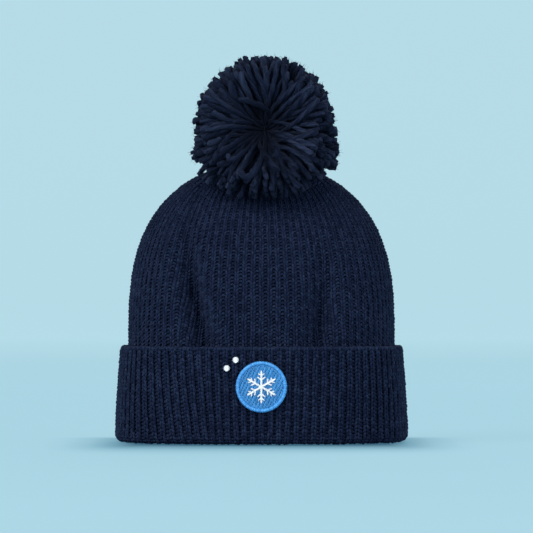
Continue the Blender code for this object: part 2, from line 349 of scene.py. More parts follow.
def crown_face():
    t = np.linspace(0, np.pi / 2, 400)
    z = CROWN_LOW_Z + (CROWN_TOP_Z - 0.0001 - CROWN_LOW_Z) * np.sin(t)
    return Face(*crown_sizes(z), z, dent=crown_dent)


def cuff_profile():
    """From the lip's top down inside, round the fold, up outside and over: (inset, height)."""
    radius = FOLD_THICKNESS / 2
    middle = radius + 0.0011
    lip_inset = CUFF_HALF_WIDTH - CROWN_HALF_WIDTH + WALL
    lip_height = 0.022
    inside = [(lip_inset + (FOLD_THICKNESS - lip_inset) * t ** 1.5,
               lip_height + (middle - lip_height) * t)
              for t in np.linspace(0, 1, 12)[:-1]]
    fold = [(radius + radius * math.cos(a), middle - radius * math.sin(a))
            for a in np.linspace(0, math.pi, 24)]
    outside = [(cuff_inset(z), z)
               for z in np.linspace(middle, CUFF_HEIGHT - CUFF_EDGE, 40)[1:]]
    top = cuff_inset(CUFF_HEIGHT)
    over = [(top + CUFF_EDGE * (1 - math.cos(a)), CUFF_HEIGHT - CUFF_EDGE * (1 - math.sin(a)))
            for a in np.linspace(0, math.radians(150), 12)[1:]]
    return np.array(inside + fold + outside + over)


def cuff_face():
    inset, z = cuff_profile().T
    return Face(CUFF_HALF_WIDTH - inset, CUFF_HALF_DEPTH - inset, z, lean=cuff_lean)


# --- knitting ---

def stitches(ribs, rows, *others):
    """Every mix of columns, rows and other choices, as flat arrays."""
    mixed = np.meshgrid(np.array(ribs, float), np.asarray(rows), *others, indexing="ij")
    return [choice.ravel() for choice in mixed]


def wander(column, v):
    """How far a column strays from its straight line, in pitches."""
    return (0.030 * np.sin(2 * np.pi * (v / 0.047 + column * 0.37))
            + 0.026 * np.sin(2 * np.pi * (v / 0.021 + column * 0.21))
            * np.sin(column * 1.7))


def yarn_on(name, face, s, v, lift, radii, flat, rng):
    """Short yarns laid over a face of the knit, flattened against it, each with its own tone."""
    paths, normals = face.at(s, v, lift)
    return tubes(name, paths, radii, normals, sides=6, flat=flat,
                 tone=rng.uniform(0, 1, len(paths)))


def stitch_legs(name, face, ribs, rows, ribs_round, knit_way, leg, seed):
    """Two legs of yarn for each stitch, leaning apart, each row tucked under the next.

    ribs is the range of columns, rows holds each row's v, and knit_way is 1 where the knitting
    runs with v and -1 where it runs against it. leg is CUFF_LEG or CROWN_LEG.
    """
    leg_radius, leg_spread = leg
    rng = np.random.default_rng(seed)
    column, row_v, side = stitches(ribs, rows, (-1, 1))
    count = len(column)
    t, thickness, rise, out = LEG_FORM.T
    column = column + wander(column, row_v) + rng.normal(0, 0.014, count)
    pitch = face.pitch_at(column / ribs_round, row_v, ribs_round)
    reach = ROW * rng.uniform(1.38, 1.58, count)
    v = row_v[:, None] + knit_way * reach[:, None] * (t[None] - 0.15)
    spread = leg_spread * out[None] * rng.normal(1, 0.07, count)[:, None]
    s = (column[:, None] + side[:, None] * spread) / ribs_round
    lift = rise[None] * pitch[:, None] - KNIT_SINK + rng.normal(0, 0.00017, count)[:, None]
    radii = leg_radius * pitch[:, None] * thickness[None] * rng.normal(1, 0.06, count)[:, None]
    return yarn_on(name, face, s, v, lift, radii, 0.92, rng)


def purl_bumps(name, face, ribs, rows, ribs_round, bump, sink, seed):
    """The purl columns between the ribs: one arched bump for each row, sunk into the groove.

    bump is CUFF_PURL or CROWN_PURL, and sink gives each row's depth.
    """
    bump_radius, arch, flatness = bump
    rng = np.random.default_rng(seed)
    column, row_v = stitches(ribs, rows)
    sink = np.interp(row_v, rows, sink + 0 * rows)[:, None]
    count = len(column)
    along, up, thickness, rise = PURL_FORM.T
    column = column + 0.5 + wander(column, row_v) + rng.normal(0, 0.02, count)
    pitch = face.pitch_at(column / ribs_round, row_v, ribs_round)[:, None]
    s = (column[:, None] + along[None]) / ribs_round
    v = row_v[:, None] + arch * up[None] * pitch + rng.normal(0, 0.00015, count)[:, None]
    lift = rise[None] * pitch - sink + rng.normal(0, 0.00012, count)[:, None]
    radii = bump_radius * pitch * thickness[None] * rng.normal(1, 0.05, count)[:, None]
    return yarn_on(name, face, s, v, lift, radii, flatness, rng)


def knit_sheet(name, face, v_low, v_high, ribs_round, groove):
    """The wavy sheet of knit under the yarns, closed along both its edges.

    groove is how deep its outer side lies between the ribs.
    """
    columns = RIBS * 4
    steps = max(int((v_high - v_low) / (ROW / 2)), 4)
    v = np.linspace(v_low, v_high, steps)
    s = np.arange(columns) / columns
    wave = np.cos(2 * np.pi * s * ribs_round)[None]
    row_wave = np.cos(2 * np.pi * v / ROW)[:, None]
    pitch = face.pitch_at(s[None] + 0 * v[:, None], v[:, None] + 0 * s[None], ribs_round)
    depth = np.clip(pitch / 0.0062, 0.2, 1.1)
    under_rib = KNIT_SINK + 0.0009
    outer_lift = (-under_rib - (groove - under_rib) * (1 - wave) / 2 + 0.00012 * row_wave) * depth
    inner_lift = (-0.00430 + 0.00040 * wave + 0.00022 * row_wave * wave) * depth
    outer, _ = face.at(s[None], v[:, None], outer_lift)
    inner, _ = face.at(s[None], v[:, None], inner_lift)
    points = np.concatenate([outer, inner[::-1]])
    quads = ring_quads(len(points), columns, closed=True)[:, (0, 3, 2, 1)]
    yarn = np.zeros(points.shape)
    yarn[..., 0] = np.concatenate([v, v[::-1]])[:, None]
    yarn[..., 1] = (s * ribs_round)[None]
    yarn[..., 2] = 0.35
    return make_mesh(name, points.reshape(-1, 3), quads, attributes={"yarn": yarn.reshape(-1, 3)})


def knit_columns(part, zone, face, rows, ribs_round, sectors, knit_way, leg, bump, sink, seed):
    """Rib and purl columns all round, in sectors so that each mesh stays a handy size."""
    made = []
    for sector in range(sectors):
        ribs = range(sector * ribs_round // sectors, (sector + 1) * ribs_round // sectors)
        label = f"{zone}{'abcdefgh'[sector]}"
        made.append(stitch_legs(f"{part}_stitches_{label}", face, ribs, rows, ribs_round,
                                knit_way, leg, seed + sector))
        made.append(purl_bumps(f"{part}_purl_{label}", face, ribs, rows, ribs_round,
                               bump, sink, seed + sector + 50))
    return made


def make_crown():
    face = crown_face()
    made = []
    for zone, (ribs_round, z_low, z_high) in enumerate(CROWN_ZONES):
        v_low = face.way_to(z_low)
        v_high = face.way_to(z_high) if z_high else face.length - EDGE_LEFT
        made += knit_columns("crown", zone + 1, face, np.arange(v_low, v_high, ROW), ribs_round,
                             8 if ribs_round == RIBS else 1, 1, CROWN_LEG, CROWN_PURL,
                             CROWN_PURL_SINK, 100 + 10 * zone)
        made.append(knit_sheet(f"crown_knit_{zone + 1}", face, v_low if zone else EDGE_LEFT,
                               v_high, ribs_round, CROWN_GROOVE))
    for piece in made:
        finish_piece(piece, "hat", "knit_navy")
    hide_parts("crown_shell")
    return face


def make_cuff():
    """The turned-up cuff: its stitches run round the fold and up inside to the lip."""
    face = cuff_face()
    edge = face.length - CUFF_EDGE * 1.9
    rows = np.arange(CUFF_FIRST_ROW, edge + 0.0010, ROW)
    up_the_face = np.interp(rows, face.way, np.maximum.accumulate(
        np.where(face.way > face.length * 0.25, face.heights, 0)))
    sink = np.interp(up_the_face, (0.0, 0.010), (FOLD_PURL_SINK, CUFF_PURL_SINK))
    made = knit_columns("cuff", "", face, rows, RIBS, 6, -1, CUFF_LEG, CUFF_PURL, sink, 200)
    made.append(knit_sheet("cuff_knit", face, 0.0, face.length, RIBS, CUFF_GROOVE))
    for row in range(3):
        made.append(edge_chain(f"cuff_edge_chain_{row + 1}", face,
                               edge + row * EDGE_CHAIN_STEP, 310 + row))
    for piece in made:
        finish_piece(piece, "cuff", "knit_navy")
    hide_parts("turned_cuff")


def edge_chain(name, face, v_middle, seed):
    """A chain of stitches lying along the cuff's free edge, two links to a rib."""
    rng = np.random.default_rng(seed)
    links = RIBS * 2
    link, side = stitches(range(links), (0.0,), (-1, 1))[::2]
    count = len(link)
    t, thickness, rise, out = LEG_FORM.T
    link_length = face.pitch_at(link / links, np.full(count, v_middle), links)
    s = (link[:, None] + 1.65 * (t[None] - 0.15) + rng.normal(0, 0.05, count)[:, None]) / links
    v = v_middle + side[:, None] * (0.0001 + 0.0038 * out[None]) + rng.normal(
        0, 0.00010, count)[:, None]
    lift = -KNIT_SINK - 0.0004 + rise[None] * 0.0050 + rng.normal(0, 0.0002, count)[:, None]
    radii = 0.235 * link_length[:, None] * thickness[None]
    return yarn_on(name, face, s, v, lift, radii, 1.0, rng)


def make_inner_band():
    """The inner layer between the fold's lip and the crown, which the fold takes up."""
    lip = 0.0222
    z = np.linspace(lip, CROWN_LOW_Z + 0.0004, 12)
    face = Face(*crown_sizes(z), z)
    band = knit_sheet("inner_band", face, 0.0, face.length, RIBS, CROWN_GROOVE)
    finish_piece(band, "hat", "knit_navy")
    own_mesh(band)


# --- the pom pom ---

def rotation(axis, angle):
    x, y, z = axis / np.linalg.norm(axis)
    turn = np.array(((0, -z, y), (z, 0, -x), (-y, x, 0)))
    return np.eye(3) + math.sin(angle) * turn + (1 - math.cos(angle)) * turn @ turn


def pom_corners():
    """The pom pom's turns at every mix of its joints' limits and rest."""
    axes = np.array(((1, 0, 0), (0, 1, 0), POM_CORE - POM_PIVOT))
    for steps in itertools.product((-1, 0, 1), repeat=3):
        turn = np.eye(3)
        for step, axis, limit in zip(steps, axes, POM_TURNS):
            turn = turn @ rotation(axis, step * limit)
        yield turn


def crown_room(points):
    """Above 1 outside the crown's outer face, below 1 inside it."""
    x, y, z = np.moveaxis(np.abs(points), -1, 0)
    half_width, half_depth = crown_sizes(z)
    across = x / (half_width + YARN_CLEARANCE)
    along = y / (half_depth + YARN_CLEARANCE)
    inside = across ** SECTION_POWER + along ** SECTION_POWER
    return np.where(z > CROWN_TOP_Z + ROOT_CLEARANCE, 9.0, inside)


YARNS = 1120
YARN_RADIUS = 0.00200
YARN_CLEARANCE = 0.0027
ROOT_CLEARANCE = 0.0025     # over the eye, where the yarns are thinner
YARN_STEPS = 16
YARN_TWIST = 30             # turns in a metre
HAIRS_A_YARN = 20           # loose fibres on each yarn
HAIR_RADIUS = 0.00009
POM_REACH = (0.0525, 0.0575, 0.0605, 0.0608)     # sideways, up, down, to the lower corners
CORE_CLEAR = 0.0095         # the yarns' roots stand this far from the core's middle
TIE_CLEAR = math.radians(28)        # and this far round from the tie's way down
PART_ANGLE = math.radians(37)       # the yarns part this far round the front of the core
FLOP_ANGLE = math.radians(50)       # and those that leave inside this angle flop over outwards
FRONT = np.array((-0.06, -0.98, 0.19))      # the parting's middle, up and left of the core


def even_directions(count):
    number = np.arange(count)
    z = 1 - (2 * number + 1) / count
    flat = np.sqrt(1 - z * z)
    turn = number * math.pi * (3 - math.sqrt(5))
    return np.stack([flat * np.cos(turn), flat * np.sin(turn), z], -1)


def from_front(directions):
    """Each direction's angle from the front, and the way it leans from there."""
    angle = np.arccos(np.clip(directions @ FRONT, -1, 1))
    return angle, unit(directions - (directions @ FRONT)[:, None] * FRONT)


def parted(directions):
    """Directions swung away from the front, which parts the pom pom round its core."""
    angle, outward = from_front(directions)
    swung = np.minimum(np.hypot(angle, PART_ANGLE * np.exp(-angle)), np.pi)
    return np.cos(swung)[:, None] * FRONT + np.sin(swung)[:, None] * outward


def bezier(points, steps):
    """Cubic curves through (curves, 4, 3) control points."""
    t = np.linspace(0, 1, steps)[None, :, None]
    a, b, c, d = (points[:, None, i] for i in range(4))
    return (a * (1 - t) ** 3 + 3 * b * t * (1 - t) ** 2 + 3 * c * t ** 2 * (1 - t) + d * t ** 3)


def pom_paths(rng):
    """Paths of the pom pom's yarns and the direction each one leaves its core in."""
    leaving = unit(even_directions(YARNS) + rng.normal(0, 0.045, (YARNS, 3)))
    ending = unit(parted(leaving) + rng.normal(0, 0.075, (YARNS, 3)))
    way = (reach_at(ending) * rng.uniform(0.955, 1.010, YARNS))[:, None]
    controls = np.stack([
        CORE_CLEAR * leaving, 0.36 * way * unit(0.5 * leaving + 0.5 * ending),
        0.70 * way * ending + rng.normal(0, 0.0036, (YARNS, 3)), way * ending], 1)
    angle, outward = from_front(leaving)
    flopping = angle < FLOP_ANGLE
    controls[flopping] = flopped(leaving[flopping], outward[flopping], rng)
    paths = bezier(controls, YARN_STEPS)
    t = np.linspace(0, 1, YARN_STEPS)[None, :, None]
    paths += rng.normal(0, 0.0009, (YARNS, 1, 3)) * np.sin(2 * np.pi * t * 1.3) * t
    return POM_CORE + within(paths), leaving


def reach_at(directions):
    """How far the trimmed pom pom reaches that way: taller than wide, with full lower corners."""
    rise = np.clip(directions[..., 2], 0, 1) ** 2
    drop = np.clip(-directions[..., 2] * 1.5, 0, 1)
    across = np.abs(directions[..., 0]) / np.maximum(np.hypot(*directions[..., :2].T).T, 1e-9)
    sideways, up, down, corner = POM_REACH
    return (sideways + (up - sideways) * rise
            + (down + (corner - down) * across - sideways) * drop)


def flopped(leaving, outward, rng):
    """Curves of the front yarns, which rise out of the core and fall away from its middle."""
    count = len(leaving)
    turn = rng.normal(0, 0.60, count)[:, None]
    sideways = outward * np.cos(turn) + np.cross(FRONT, outward) * np.sin(turn)
    sideways = unit(sideways + np.array((0, 0, -0.25)))
    rise = rng.uniform(0.012, 0.030, count)[:, None]
    reach = rng.uniform(0.026, 0.044, count)[:, None]
    start = unit(parted(leaving) + 0.15 * outward)
    bend = start * rise + FRONT * 0.004
    tip = bend + sideways * reach + FRONT * rng.uniform(0.002, 0.016, count)[:, None]
    return np.stack([CORE_CLEAR * leaving, bend * 0.9, bend + (tip - bend) * 0.42, tip], 1)


def within(paths):
    """Paths about the core, drawn in where they leave the trimmed shape."""
    away = np.linalg.norm(paths, axis=-1)
    share = np.minimum(1, (reach_at(unit(paths)) + 0.0015) / np.maximum(away, 1e-9))
    return paths * share[..., None]


def along_paths(paths, places):
    """Points at places, from 0 to 1, along each path."""
    steps = paths.shape[1]
    places = places * (steps - 1)
    low = np.minimum(places.astype(int), steps - 2)
    part = (places - low)[..., None]
    rows = np.arange(len(paths))[:, None]
    return paths[rows, low] * (1 - part) + paths[rows, low + 1] * part


def cleared(paths):
    """Paths cut short where they would meet the crown at any turn of the pom pom."""
    tests = 96
    places = np.linspace(0, 1, tests)[None] + np.zeros((len(paths), 1))
    fine = along_paths(paths, places)
    safe = np.ones(fine.shape[:2], bool)
    for turn in pom_corners():
        turned = POM_PIVOT + (fine - POM_PIVOT) @ turn.T
        safe &= crown_room(turned) > 1
    safe[:, 0] = True
    first_bad = np.where(safe.all(1), tests, np.argmin(safe, axis=1))
    share = (first_bad - 1) / (tests - 1)
    return along_paths(paths, np.linspace(0, 1, paths.shape[1])[None] * share[:, None]), share


def curls(rng):
    """A few long yarns that curl over the lower front, as their leaving way and their paths."""
    count = 3
    turn = np.array((-1.50, -2.05, -0.95))
    way = np.stack([np.cos(turn), 0 * turn, np.sin(turn)], -1)
    across = np.cross(FRONT, way) * rng.choice((-1, 1), count)[:, None]
    out = rng.uniform(0.026, 0.042, count)[:, None]
    curl = np.array((0.012, 0.007, 0.005))[:, None]
    depth = np.array((0.052, 0.044, 0.047))[:, None]
    controls = np.stack([
        way * 0.012 + FRONT * 0.030, way * out * 0.75 + FRONT * depth,
        way * (out + curl) + across * curl + FRONT * depth,
        way * (out - 0.3 * curl) + across * (1.6 * curl) + FRONT * (depth - 0.003)], 1)
    return unit(way + 0.8 * FRONT), POM_CORE + bezier(controls, YARN_STEPS)


def make_pom():
    rng = np.random.default_rng(7)
    paths, leaving = pom_paths(rng)
    curl_leaving, curl_paths = curls(rng)
    paths = np.concatenate([paths, curl_paths])
    leaving = np.concatenate([leaving, curl_leaving])
    paths, share = cleared(paths)
    count = len(paths)
    locks = sorted(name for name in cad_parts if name.startswith("pom_lock_"))
    middles = np.array([middle_of(name) for name in locks])
    nearest = np.argmax(leaving @ unit(middles - POM_CORE).T, axis=1)
    t = np.linspace(0, 1, YARN_STEPS)
    form = np.interp(t, (0, 0.2, 0.5, 0.88, 0.97, 1), (0.40, 0.70, 0.98, 1.14, 1.14, 0.80))
    tone = rng.uniform(0, 1, count)
    thick = YARN_RADIUS * rng.uniform(0.84, 1.14, count)
    radii = thick[:, None] * form[None] * rng.uniform(0.93, 1.07, (count, YARN_STEPS))
    outward = unit(rng.normal(0, 1, (count, 3)))[:, None] + np.zeros_like(paths)
    down_the_tie = unit(POM_PIVOT - POM_CORE)
    kept = (share > 0.12) & (leaving @ down_the_tie < math.cos(TIE_CLEAR))
    for number, lock in enumerate(locks):
        mine = kept & (nearest == number)
        if not mine.any():
            mine = nearest == number
        piece = tubes(lock.replace("pom_lock", "pom_yarns"), paths[mine], radii[mine],
                      outward[mine], sides=9, flat=0.88, tone=tone[mine], lobes=0.15,
                      twist=YARN_TWIST)
        finish_piece(piece, "pom", "yarn_navy", lock)
        whole = mine & (share == 1)
        if whole.any():
            fuzz = yarn_hairs(lock.replace("pom_lock", "pom_fuzz"), paths[whole], radii[whole],
                              rng)
            finish_piece(fuzz, "pom", "yarn_navy")


def yarn_hairs(name, paths, radii, rng):
    """Loose fibres that stand off the yarns and lean along them."""
    count = len(paths) * HAIRS_A_YARN
    yarn = np.repeat(np.arange(len(paths)), HAIRS_A_YARN)
    step = rng.integers(paths.shape[1] // 3, paths.shape[1], count)
    root = paths[yarn, step]
    along = unit(np.gradient(paths, axis=1))[yarn, step]
    off = unit(np.cross(along, rng.normal(0, 1, (count, 3))))
    length = rng.uniform(0.0008, 0.0024, count)[:, None]
    start = root + off * radii[yarn, step][:, None] * 0.8
    bend = start + length * (0.55 * off + 0.45 * along)
    tip = bend + length * (0.25 * off + 0.60 * along + rng.normal(0, 0.22, (count, 3)))
    hairs = np.stack([start, (start + bend) / 2 + off * 0.0001, bend, tip], 1)
    thick = HAIR_RADIUS * np.array((1.0, 1.0, 0.8, 0.4))[None] * np.ones((count, 1))
    outward = np.broadcast_to(off[:, None], hairs.shape)
    return tubes(name, hairs, thick, outward, sides=3, tone=rng.uniform(0, 1, count))


# --- cords ---

BINDING_TURNS = 3           # round the pom pom's pinched core
BINDING_WIDTH = 0.0042
BINDING_RADIUS = 0.0062
GATHER_TURNS = 3.3          # the gathering yarn winds up and in round the eye
GATHER_RADII = (0.0080, 0.0055)
GATHER_HEIGHTS = (-0.0003, 0.0022)      # over the crown's top
SEAM_STITCHES = 44


def smooth_path(points, steps):
    """A smooth curve through given points (Catmull-Rom)."""
    points = np.asarray(points, float)
    padded = np.concatenate([[2 * points[0] - points[1]], points, [2 * points[-1] - points[-2]]])
    spans = len(points) - 1
    place = np.linspace(0, spans, steps)
    span = np.minimum(place.astype(int), spans - 1)
    t = (place - span)[:, None]
    a, b, c, d = (padded[span + i] for i in range(4))
    return 0.5 * (2 * b + (c - a) * t + (2 * a - 5 * b + 4 * c - d) * t ** 2
                  + (3 * b - a - 3 * c + d) * t ** 3)


def plied_cord(name, path, radius, pitch, body, node, plies=3):
    """A cord twisted from plies round a path, which stands for a CAD node."""
    ply_radius = radius * 0.52
    sideways = np.array((0.31, 0.17, 0.93))
    tangents = unit(np.gradient(path, axis=0))
    across = unit(np.cross(tangents, sideways))
    up = np.cross(tangents, across)
    run = running(np.linalg.norm(np.diff(path, axis=0), axis=1))
    turn = 2 * np.pi * (run / pitch + np.arange(plies)[:, None] / plies)[..., None]
    paths = path + ply_radius * (across * np.cos(turn) + up * np.sin(turn))
    piece = tubes(name, paths, np.full(paths.shape[:2], ply_radius),
                  np.broadcast_to(sideways, paths.shape), sides=7,
                  tone=np.linspace(0.3, 0.7, plies))
    finish_piece(piece, body, "yarn_navy", node)


def make_ties():
    """Neck, inner knot, binding, pinched core and the gathering yarn at the eye."""
    neck = unit(POM_CORE - POM_PIVOT)
    knot = middle_of("tie_knot")
    upright = np.array((0, 0, 1.0))
    way = smooth_path((POM_CORE - neck * 0.0080, POM_PIVOT + upright * 0.0062, POM_PIVOT,
                       knot + upright * 0.0036), 40)
    plied_cord("pom_tie", way, 0.0015, 0.006, "pom_neck", "pom_tie_cord")
    t = np.linspace(0, 2 * np.pi, 64)
    trefoil = np.stack([np.sin(t) + 2 * np.sin(2 * t), np.cos(t) - 2 * np.cos(2 * t),
                        -1.3 * np.sin(3 * t)], -1) * 0.00092
    plied_cord("tie_knot_yarn", knot + trefoil, 0.0013, 0.005, "pom_neck", "tie_knot")
    t = 2 * np.pi * BINDING_TURNS * np.linspace(0, 1, 48 * BINDING_TURNS)
    wraps = POM_CORE + np.stack([(t / t[-1] - 0.5) * BINDING_WIDTH, BINDING_RADIUS * np.cos(t),
                                 BINDING_RADIUS * np.sin(t)], -1)
    plied_cord("pom_binding_yarn", wraps, 0.0011, 0.005, "pom_binding", "pom_binder_cord")
    rng = np.random.default_rng(5)
    count = 22
    along = np.linspace(-1, 1, 9)
    turn = rng.uniform(0, 2 * np.pi, count)[:, None]
    out = rng.uniform(0.1, 1.0, count)[:, None] * (0.0027 + 0.0026 * along[None] ** 2)
    paths = POM_CORE + np.stack([0.0085 * along[None] + 0 * out, out * np.cos(turn),
                                 out * np.sin(turn)], -1)
    core = tubes("pom_core_bundle", paths, np.full(paths.shape[:2], 0.0012),
                 np.broadcast_to(np.array((0.0, 0.1, 1.0)), paths.shape), sides=7,
                 tone=rng.uniform(0, 1, count))
    finish_piece(core, "pom", "yarn_navy", "pom_core_yarn")
    turn = 2 * np.pi * GATHER_TURNS * np.linspace(0, 1, 180)
    radius = np.linspace(*GATHER_RADII, len(turn))
    height = CROWN_TOP_Z + np.linspace(*GATHER_HEIGHTS, len(turn))
    coil = np.stack([radius * np.cos(turn), radius * np.sin(turn), height], -1)
    plied_cord("gather_yarn", coil, 0.0014, 0.0045, "hat", "crown_gather_yarn")


def make_back_seam(face):
    """Linking stitches up the inside of the back, as a chain of small slanted legs."""
    low, high = face.way_to(CROWN_LOW_Z + 0.003), face.way_to(0.150)
    v = np.linspace(low, high, SEAM_STITCHES).repeat(2)[:, None]
    side = np.tile((-1, 1), SEAM_STITCHES)[:, None]
    t = np.array((0.0, 0.5, 1.0))[None]
    s = 0.5 + side * (0.0002 + 0.0011 * t) / 0.56
    lift = np.broadcast_to(-WALL - 0.0009 - 0.0005 * np.sin(np.pi * t), s.shape)
    paths, normals = face.at(s, v + 0.0034 * t, lift)
    radii = np.tile(np.array((0.0004, 0.0007, 0.0005)), (len(s), 1))
    seam = tubes("back_seam_stitches", paths, radii, normals, sides=6)
    finish_piece(seam, "hat", "yarn_navy", "back_seam_thread")


# --- embroidery ---

def over_cuff(x, z, lift):
    """Points over the cuff's front face at (x, z), lift out from it."""
    half_width = CUFF_HALF_WIDTH - cuff_inset(z) + lift
    half_depth = CUFF_HALF_DEPTH - cuff_inset(z) + lift
    inside = 1 - (np.abs(x) / half_width) ** SECTION_POWER
    return np.stack([x, -half_depth * inside ** (1 / SECTION_POWER), z], -1)


THREAD = 0.00042            # spacing of embroidery threads
THICK_THREAD = 0.00088      # and of the thicker ones that fill and edge the badge
RIM_WIDTH = 0.0024
FILL_STITCH = 0.0052        # length of the fill's stitches


def threads(name, starts, ends, low, rise, slot, node, seed, spacing=THREAD, steps=5):
    """Straight stitches over the cuff from starts to ends, (x, z) each, bowed up by rise."""
    rng = np.random.default_rng(seed)
    t = np.linspace(0, 1, steps)
    flat = starts[:, None] * (1 - t)[None, :, None] + ends[:, None] * t[None, :, None]
    bow = np.sin(np.pi * t) ** 0.6
    lift = low + rise * bow[None] + rng.normal(0, 0.00002, (len(starts), 1))
    paths = over_cuff(flat[..., 0], flat[..., 1], lift)
    radii = np.tile(0.55 * spacing * np.interp(t, (0, 0.12, 0.88, 1), (0.6, 1, 1, 0.6)),
                    (len(starts), 1))
    outward = np.broadcast_to(np.array((0.0, -1.0, 0.02)), paths.shape)
    piece = tubes(name, paths, radii, outward, sides=6, tone=rng.uniform(0, 1, len(starts)))
    finish_piece(piece, "cuff", slot, node)


def disc_chords(radius, spacing, centre):
    """Ends of the chords that fill a disc, one above the next."""
    offsets = np.arange(-radius + spacing / 2, radius, spacing)
    half = np.sqrt(np.maximum(radius ** 2 - offsets ** 2, 0))
    return (np.stack([centre[0] + side, centre[1] + offsets], -1) for side in (-half, half))


def brick_stitches(starts, ends, length):
    """Cuts long chords into stitches, each row's cuts a third of a stitch along from the last."""
    cut = []
    for row, (start, end) in enumerate(zip(starts, ends)):
        cuts = np.arange(start[0] // length * length + (row % 3) * length / 3, end[0], length)
        cuts = cuts[(cuts > start[0] + length * 0.25) & (cuts < end[0] - length * 0.25)]
        edges = np.concatenate([[start[0]], cuts, [end[0]]])
        cut += [((left - 0.00008, start[1]), (right + 0.00008, start[1]))
                for left, right in zip(edges[:-1], edges[1:])]
    return np.array(cut).transpose(1, 0, 2)


def satin_bar(start, end, half_width):
    """Stitches laid side by side across a bar from start to end."""
    along = end - start
    length = np.linalg.norm(along)
    along /= length
    across = np.array((-along[1], along[0]))
    count = max(int(length / THREAD), 2)
    middles = start + along * np.linspace(0, length, count)[:, None]
    taper_ends = np.minimum(1, 0.45 + np.minimum(np.linspace(0, 1, count),
                                                 np.linspace(1, 0, count)) * 6)
    half = half_width * taper_ends[:, None]
    return middles - across * half, middles + across * half


def make_badge():
    centre = np.array((0.0, BADGE_CENTRE_Z))
    inner_radius = BADGE_RADIUS - RIM_WIDTH
    fill_radius = inner_radius + 0.0006
    base = patch_disc("badge_base", centre, fill_radius, 0.0003, 0.00105)
    finish_piece(base, "cuff", "thread_blue")
    chords = disc_chords(fill_radius, THICK_THREAD, centre[::-1])
    starts, ends = brick_stitches(*chords, FILL_STITCH)
    threads("badge_fill_stitches", starts[:, ::-1], ends[:, ::-1], 0.00110, 0.00020,
            "thread_blue", "badge_fill", 41, THICK_THREAD)
    count = int(2 * math.pi * BADGE_RADIUS / THICK_THREAD)
    turn = np.arange(count) / count * 2 * math.pi
    threads("badge_rim_stitches", centre + circle(turn) * inner_radius,
            centre + circle(turn + 0.012) * BADGE_RADIUS, 0.0006, 0.0017, "thread_light_blue",
            "badge_rim", 42, THICK_THREAD * 1.1, steps=7)
    pad = patch_ring("badge_rim_pad", centre, BADGE_RADIUS - RIM_WIDTH / 2, RIM_WIDTH * 0.36,
                     0.0011)
    finish_piece(pad, "cuff", "thread_light_blue")
    threads("badge_snowflake_stitches", *snowflake_stitches(centre), 0.00165, 0.00050,
            "thread_white", "badge_snowflake", 43)
    for dot in ("cuff_dot_high", "cuff_dot_low"):
        middle, radius = disc_of(dot)
        threads(f"{dot}_stitches", *disc_chords(radius, THREAD, middle), 0.0005, 0.0008,
                "thread_white", dot, 44)
    backing = patch_disc("badge_backing_sheet", centre, BADGE_RADIUS, -WALL - 0.0013,
                         -WALL - 0.0008)
    finish_piece(backing, "cuff", "backing_white", "badge_backing")


def snowflake_stitches(centre):
    """Six arms, each with two pairs of side branches."""
    stitched = []
    for arm in range(6):
        turn = math.pi / 2 + arm * math.pi / 3
        way = circle(turn)
        bars = [(centre + way * 0.0002, centre + way * 0.0115, 0.00085)]
        for place, length in ((0.0050, 0.0034), (0.0080, 0.0026)):
            for side in (-1, 1):
                tip = circle(turn + side * math.pi / 3.4)
                root = centre + way * place
                bars.append((root, root + tip * length, 0.00055))
        stitched += [satin_bar(*bar) for bar in bars]
    return (np.concatenate(ends) for ends in zip(*stitched))


def patch_disc(name, centre, radius, low, high, sides=64, bands=8):
    """A thin closed disc over the cuff's front."""
    turn = 2 * np.pi * np.arange(sides) / sides
    share = np.arange(1, bands + 1) / bands
    x = centre[0] + radius * share[:, None] * np.cos(turn)[None]
    z = centre[1] + radius * share[:, None] * np.sin(turn)[None]
    points = np.concatenate([over_cuff(across, up, lift).reshape(-1, 3)
                             for across, up in ((x, z), (centre[:1], centre[1:]))
                             for lift in (high, low)])
    under_by = bands * sides
    front = ring_quads(bands, sides)
    back = front[:, ::-1] + under_by
    inner = np.arange(sides)
    after = np.roll(inner, -1)
    last = under_by - sides
    rim = np.stack([inner, inner + under_by, after + under_by, after], -1) + last
    tip = np.full(sides, 2 * under_by)
    fan = np.stack([tip, inner, after], -1)
    fan_back = np.stack([tip + 1, after + under_by, inner + under_by], -1)
    return make_mesh(name, points, np.concatenate([front, back, rim]),
                     np.concatenate([fan, fan_back]), attributes={"yarn": points * 0 + 0.5})


def patch_ring(name, centre, radius, half, lift):
    """A round padding ring over the cuff's front."""
    steps = 97
    turn = np.linspace(0, 2 * np.pi, steps)
    path = over_cuff(centre[0] + radius * np.cos(turn), centre[1] + radius * np.sin(turn),
                     np.full(steps, lift))
    outward = np.broadcast_to(np.array((0.0, -1.0, 0.0)), (1, steps, 3))
    return tubes(name, path[None], np.full((1, steps), half), outward, sides=8)


# --- materials ---

def new_material(name, roughness, sheen=0.0, sheen_tint=(1, 1, 1), specular=0.3):
    """A Principled material with its constant values on the shader's own sockets."""
    made = bpy.data.materials.new(name)
    made.use_nodes = True
    tree = made.node_tree
    shader = tree.nodes["Principled BSDF"]
    for socket, value in (("Roughness", roughness), ("Metallic", 0),
                          ("Specular IOR Level", specular), ("Sheen Weight", sheen),
                          ("Sheen Roughness", 0.5), ("Sheen Tint", (*sheen_tint, 1))):
        shader.inputs[socket].default_value = value
    return made, tree, shader


def node(tree, kind, **settings):
    made = tree.nodes.new(kind)
    for name, value in settings.items():
        setattr(made, name, value)
    return made


def noise(tree, where, scale, detail=3.0, rough=0.55):
    made = node(tree, "ShaderNodeTexNoise")
    made.inputs["Scale"].default_value = scale
    made.inputs["Detail"].default_value = detail
    made.inputs["Roughness"].default_value = rough
    tree.links.new(where, made.inputs["Vector"])
    return made.outputs["Fac"]


